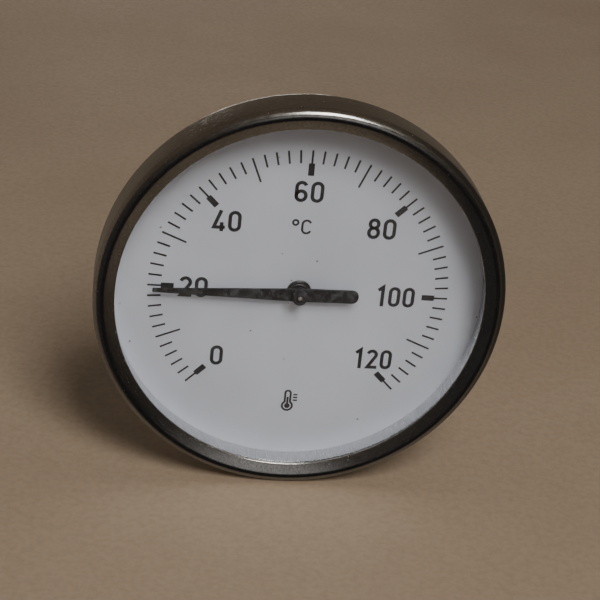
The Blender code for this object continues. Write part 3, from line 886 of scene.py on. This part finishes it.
def make_blade(look):
    """Flat blade with softened edges. It widens from its tip to the hub, and its tail is round."""
    low, high = back("pointer_blade"), front("pointer_blade")
    tip, tail = POINTER_TIP_R, -POINTER_TAIL_R
    tip_half, tail_half, corner = POINTER_TIP_HALF_WIDTH, POINTER_TAIL_HALF_WIDTH, POINTER_CORNER_R
    edge = 0.06
    outline = [
        (tip_half - 0.1, tip), (-tip_half + 0.1, tip), (-tip_half, tip - 0.12),
        (-tail_half, 0), *arc(-tail_half + corner, tail + corner, corner, 180, 270, 10),
        *arc(tail_half - corner, tail + corner, corner, 270, 360, 10), (tail_half, 0),
        (tip_half, tip - 0.12),
    ]
    hole = arc(0, 0, HUB_NECK_R + AIR, 0, 345, 23)
    turn = scale_angle(REST_C) - pi / 2
    rotate = Matrix.Rotation(turn, 2)

    def loop(bm, points, z):
        return [bm.verts.new(in_frame(*(rotate @ Vector(p)), z)) for p in points]

    def inset(points):
        made = []
        for i, point in enumerate(points):
            along = Vector(points[(i + 1) % len(points)]) - Vector(points[i - 1])
            made.append(Vector(point) + Vector((-along.y, along.x)).normalized() * edge)
        return made

    bm = bmesh.new()
    small = inset(outline)
    rings = [loop(bm, small, low), loop(bm, outline, low + edge),
             loop(bm, outline, high - edge), loop(bm, small, high)]
    holes = [loop(bm, hole, low), loop(bm, hole, high)]
    for a, b in zip(rings, rings[1:]):
        for i in range(len(a)):
            bm.faces.new((a[i - 1], a[i], b[i], b[i - 1]))
    for i in range(len(hole)):
        bm.faces.new((holes[0][i], holes[0][i - 1], holes[1][i - 1], holes[1][i]))
    for border, inner in ((rings[0], holes[0]), (rings[-1], holes[-1])):
        edges = []
        for ring in (border, inner):
            for i in range(len(ring)):
                edges.append(bm.edges.get((ring[i - 1], ring[i])))
        bmesh.ops.triangle_fill(bm, use_beauty=True, edges=edges)
    finish_mesh("pointer_blade_look", bm, look, "pointer", "pointer_blade")


def make_hub(look):
    """Hub with a rounded head and a dished face round the end of the spindle."""
    low, high = back("pointer_hub"), front("pointer_hub")
    outer_r = radius("pointer_hub")
    blade_low, blade_high = back("pointer_blade") - AIR, front("pointer_blade") + AIR
    bore_r = SPINDLE_NOSE_R + AIR / 2
    outline = [
        (bore_r, high - 0.35), (bore_r + 0.35, high - 0.3), (outer_r - 0.55, high),
        (outer_r - 0.3, high - 0.02), (outer_r - 0.08, high - 0.18), (outer_r, high - 0.45),
        (outer_r, blade_high), (HUB_NECK_R, blade_high), (HUB_NECK_R, blade_low),
        (outer_r, blade_low), (outer_r, low + 0.1), (outer_r - 0.1, low), (bore_r, low),
    ]
    turned("pointer_hub_look", outline, look, "pointer", SMALL_SIDES)


# Stage


def make_floor(look):
    """Level floor under the head, left out of mirror rays, for which the world stands in."""
    half = 3.0
    floor_z = CAD_BOX[0][2]
    bm = bmesh.new()
    corners = [(-half, -half), (half, -half), (half, half), (-half, half)]
    bm.faces.new([bm.verts.new((x, y, floor_z)) for x, y in corners])
    mesh = bpy.data.meshes.new("floor")
    bm.to_mesh(mesh)
    bm.free()
    mesh.materials.append(look)
    floor = bpy.data.objects.new("floor", mesh)
    floor.visible_glossy = False
    bpy.context.scene.collection.objects.link(floor)


def make_camera():
    """A long lens above the dial and a little to its left, turned a little."""
    azimuth, elevation, roll = radians(7.62), radians(25.77), radians(6.03)
    lens, sensor = 98.4, 36.0
    distance = 330.3
    lift_by_glass = 0.67
    aim = in_frame(0.44, -1.86, DIAL_Z + lift_by_glass)
    forward = Vector((sin(azimuth) * cos(elevation), cos(azimuth) * cos(elevation),
                      -sin(elevation)))
    level_right = forward.cross(Vector((0, 0, 1))).normalized()
    level_up = level_right.cross(forward)
    right = level_right * cos(roll) + level_up * sin(roll)
    up = right.cross(forward)
    camera_data = bpy.data.cameras.new("camera")
    camera_data.lens = lens
    camera_data.sensor_width = sensor
    camera_data.clip_start = 0.01
    camera = bpy.data.objects.new("camera", camera_data)
    turn = Matrix((right, up, -forward)).transposed().to_4x4()
    camera.matrix_world = Matrix.Translation(aim - forward * distance * MM) @ turn
    bpy.context.scene.collection.objects.link(camera)
    bpy.context.scene.camera = camera


def area_light(name, place, size, power, colour):
    """A rectangular light that faces the origin and that the camera doesn't see."""
    data = bpy.data.lights.new(name, "AREA")
    data.shape = "RECTANGLE"
    data.size, data.size_y = size
    data.energy = power
    data.color = colour
    light = bpy.data.objects.new(name, data)
    turn = (-Vector(place)).to_track_quat("-Z", "Y").to_matrix().to_4x4()
    light.matrix_world = Matrix.Translation(place) @ turn
    light.visible_camera = False
    bpy.context.scene.collection.objects.link(light)


def make_world():
    """A dim room for metal to mirror: brown all round and behind, dark in front and to the right.

    A small soft glow stands in front. Matt surfaces get a fill that is stronger from behind, and
    the camera sees a plain backdrop.
    """
    world = bpy.data.worlds.new("dim_room")
    world.use_nodes = True
    nodes, links = world.node_tree.nodes, world.node_tree.links
    direction = nodes.new("ShaderNodeTexCoord").outputs["Generated"]

    def along(axis, low, high, to_low, to_high):
        """A number that goes from to_low to to_high as the direction turns along the axis."""
        part = nodes.new("ShaderNodeVectorMath")
        part.operation = "DOT_PRODUCT"
        part.inputs[1].default_value = axis
        links.new(direction, part.inputs[0])
        share = nodes.new("ShaderNodeMapRange")
        share.interpolation_type = "SMOOTHSTEP"
        links.new(part.outputs["Value"], share.inputs["Value"])
        for socket, value in (("From Min", low), ("From Max", high),
                              ("To Min", to_low), ("To Max", to_high)):
            share.inputs[socket].default_value = value
        return share.outputs["Result"]

    def mixed(share, a, b):
        made = nodes.new("ShaderNodeMix")
        made.data_type = "RGBA"
        links.new(share, made.inputs[0])
        for socket, value in ((made.inputs[6], a), (made.inputs[7], b)):
            if isinstance(value, bpy.types.NodeSocket):
                links.new(value, socket)
            else:
                socket.default_value = (*value, 1)
        return made.outputs[2]

    leftwards, rightwards = (-1.0, 0.0, 0.0), (1.0, 0.0, 0.0)
    backwards, upwards = (0.25, 1.0, 0.0), (0.0, 0.0, 1.0)
    tone = mixed(along(leftwards, 0.05, 0.4, 0.0, 1.0), ROOM_DARK, ROOM_GREY)
    tone = mixed(along(backwards, -0.65, -0.38, 0.0, 1.0), tone, ROOM_BROWN)
    tone = mixed(along(backwards, 0.3, 0.8, 0.0, 1.0), tone, ROOM_BACK)
    tone = mixed(along(upwards, -0.2, 0.5, 0.0, 0.7), tone, ROOM_UPPER)
    tone = mixed(along(rightwards, 0.45, 0.9, 0.0, 1.0), tone, ROOM_RIGHT)
    tone = mixed(along((0.19, -0.966, 0.17), 0.955, 1.0, 0.0, 1.0), tone, ROOM_GLOW)
    fill = mixed(along(backwards, 0.0, 0.6, 0.0, 1.0), FILL_FRONT, FILL_BACK)
    ray = nodes.new("ShaderNodeLightPath").outputs
    tone = mixed(ray["Is Diffuse Ray"], tone, fill)
    links.new(mixed(ray["Is Camera Ray"], tone, BACKDROP), nodes["Background"].inputs["Color"])
    bpy.context.scene.world = world


def make_lights():
    """A soft key from the upper right, and a weaker light behind for the case and the stem."""
    area_light("key", KEY_PLACE, KEY_SIZE, KEY_POWER, KEY_COLOUR)
    area_light("rear", REAR_PLACE, REAR_SIZE, REAR_POWER, REAR_COLOUR)


def main():
    make_camera()
    make_world()
    make_lights()
    make_floor(floor_look())

    plated = plated_look()
    case_steel = metal("case_steel", (0.5, 0.5, 0.5), (0.4, 0.39, 0.37), 0.42, (6.0, 2500.0))
    inner_steel = metal("inner_steel", (0.66, 0.66, 0.66), (0.55, 0.55, 0.54), 0.36, (9.0, 900.0))
    steel = metal("bright_steel", (0.66, 0.66, 0.67), (0.5, 0.49, 0.47), 0.25)
    brass = metal("brass", (0.72, 0.55, 0.27), (0.5, 0.36, 0.17), 0.30)
    dark_bush = metal("bush_blackened", (0.17, 0.17, 0.175), (0.1, 0.1, 0.105), 0.4)
    bimetal = metal("bimetal_strip", (0.48, 0.45, 0.42), (0.38, 0.34, 0.3), 0.4, (9.0, 3000.0))
    black = pointer_look()
    ink = ink_look()
    rubber = rubber_look()
    white = painted_look("dial_white", (0.72, 0.735, 0.82), (0.64, 0.655, 0.74), 0.5, 2200.0,
                         (0.35, 0.34, 0.33), 0.008)

    make_bezel(plated)
    make_glass(glass_look())
    make_ring("window_gasket", radius("case_body") - CASE_RIM_FOLD, rubber)
    make_ring("glass_spacer_ring", radius("glass_spacer_ring") - SHEET, spacer_look(),
              0.08)
    make_ring("dial_plate", DIAL_HOLE_R, white, 0.06)
    make_dial_support(inner_steel)
    make_case(case_steel)
    make_ticks(ink)
    make_numbers(ink)
    make_unit_sign(ink)
    make_emblem(ink)

    make_ring("case_seal_washer", CASE_HOLE_R, rubber, 0.3, SMALL_SIDES)
    make_ring("lock_washer", CASE_HOLE_R, steel, 0.1, SMALL_SIDES)
    make_nut(brass)
    make_fitting(brass)
    make_ring("stem_tube", STEM_R - TUBE_WALL, brass, 0.12, SMALL_SIDES)
    make_end_plug(brass)
    make_anchor(brass)
    make_helix(bimetal)
    make_ring("spindle_guide", BEARING_R, brass, 0.1, SMALL_SIDES)
    make_bush(dark_bush)

    make_spindle(steel)
    make_collet(brass)
    make_blade(black)
    make_hub(black)


main()
